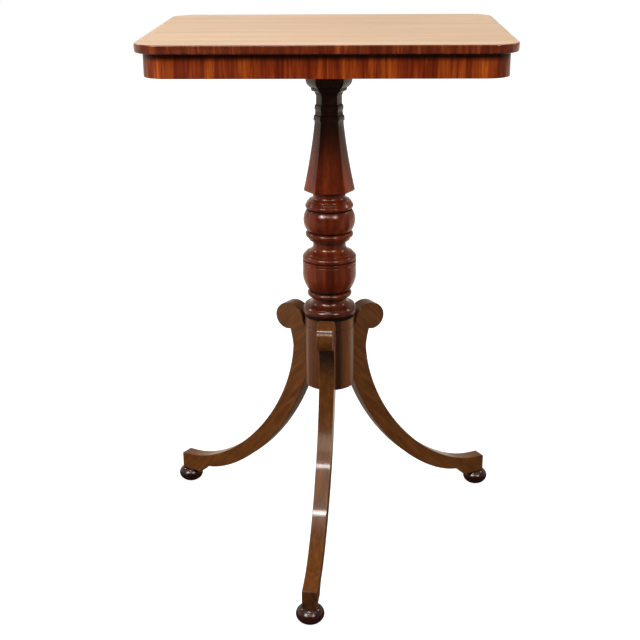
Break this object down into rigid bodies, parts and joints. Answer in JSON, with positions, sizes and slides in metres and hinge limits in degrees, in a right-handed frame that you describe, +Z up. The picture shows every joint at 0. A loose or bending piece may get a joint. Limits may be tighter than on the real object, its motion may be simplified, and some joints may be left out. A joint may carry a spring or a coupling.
{
  "type": "wine table",
  "caption": "Small tripod wine table: rounded rectangular top with a veneered frieze, faceted and turned pillar, scrolled sabre legs on bun feet.",
  "frame": {"origin": "on the floor, under the middle of the whole table's outline; the pillar's axis stands 0.6 mm to -X and 48.5 mm to +Y of it", "axes": "+Z up, X along the top's length, -Y towards the front leg"},
  "size_m": [0.5034, 0.48, 0.74],
  "materials": {
    "top_veneer": "faded figured veneer under clear wax polish, satin",
    "edging": "dark polished edge, satin",
    "frieze_veneer": "upright striped veneer, polished",
    "inner_wood": "bare secondary wood, dry",
    "block_wood": "bare hardwood, dry",
    "pillar": "dark red-brown polish, glossy",
    "hub": "mid brown, satin polish",
    "leg": "mid brown, satin polish, worn",
    "foot": "nearly black polish, glossy",
    "wedge": "bare hardwood, dry",
    "screws": "dull iron"
  },
  "bodies": {
    "root": {"top_board": "inner_wood", "top_veneer": "top_veneer", "top_edging": "edging", "frieze_rail_front": "inner_wood", "frieze_rail_back": "inner_wood", "frieze_rail_left": "inner_wood", "frieze_rail_right": "inner_wood", "frieze_corner_front_left": "inner_wood", "frieze_corner_front_right": "inner_wood", "frieze_corner_back_left": "inner_wood", "frieze_corner_back_right": "inner_wood", "frieze_veneer": "frieze_veneer", "glue_blocks": "inner_wood", "pillar_block": "block_wood", "block_screws": "screws", "pillar": "pillar", "top_tenon_wedge": "wedge", "hub_tenon_wedge": "wedge", "hub": "hub", "leg_front": "leg", "leg_back_right": "leg", "leg_back_left": "leg", "foot_front": "foot", "foot_back_right": "foot", "foot_back_left": "foot"}
  },
  "joints": []
}
